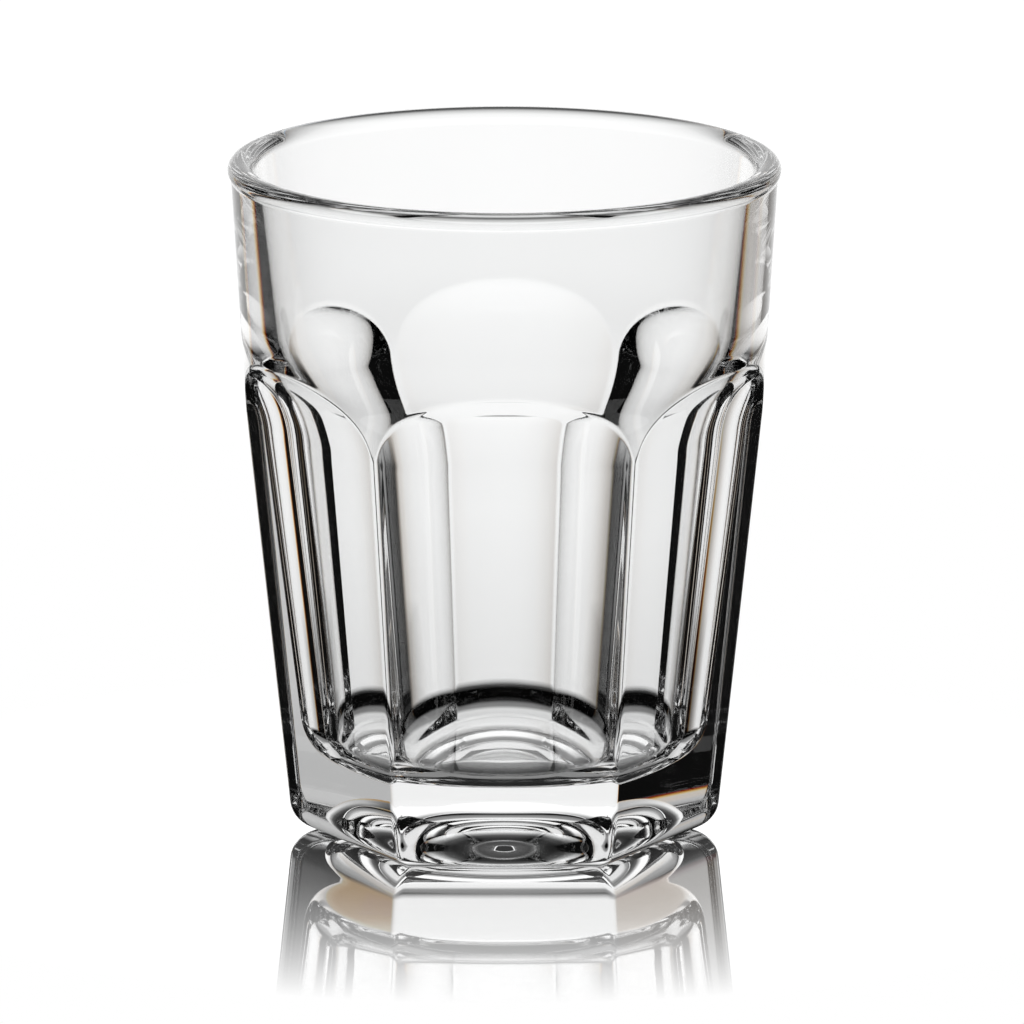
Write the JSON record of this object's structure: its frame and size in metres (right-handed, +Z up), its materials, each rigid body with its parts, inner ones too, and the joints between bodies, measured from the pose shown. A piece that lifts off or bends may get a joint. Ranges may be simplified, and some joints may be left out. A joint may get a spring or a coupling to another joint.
{
  "type": "shot glass",
  "caption": "Clear acrylic shot glass: round lip and drinking band, flat panels ending in scooped arches, tapered cavity with a soft inner shoulder, and a thick base hollowed underneath.",
  "frame": {"origin": "middle of the foot, on the surface that the glass stands on", "axes": "+Z up the glass's axis; -Y towards the viewer of the picture, square to the front panel"},
  "size_m": [0.0482, 0.0482, 0.06],
  "materials": {
    "clear_acrylic": "polished clear"
  },
  "bodies": {
    "root": {"rim_bead": "clear_acrylic", "drinking_band": "clear_acrylic", "panel_front": "clear_acrylic", "panel_front_right": "clear_acrylic", "panel_back_right": "clear_acrylic", "panel_back": "clear_acrylic", "panel_back_left": "clear_acrylic", "panel_front_left": "clear_acrylic", "base_block": "clear_acrylic"}
  },
  "joints": []
}
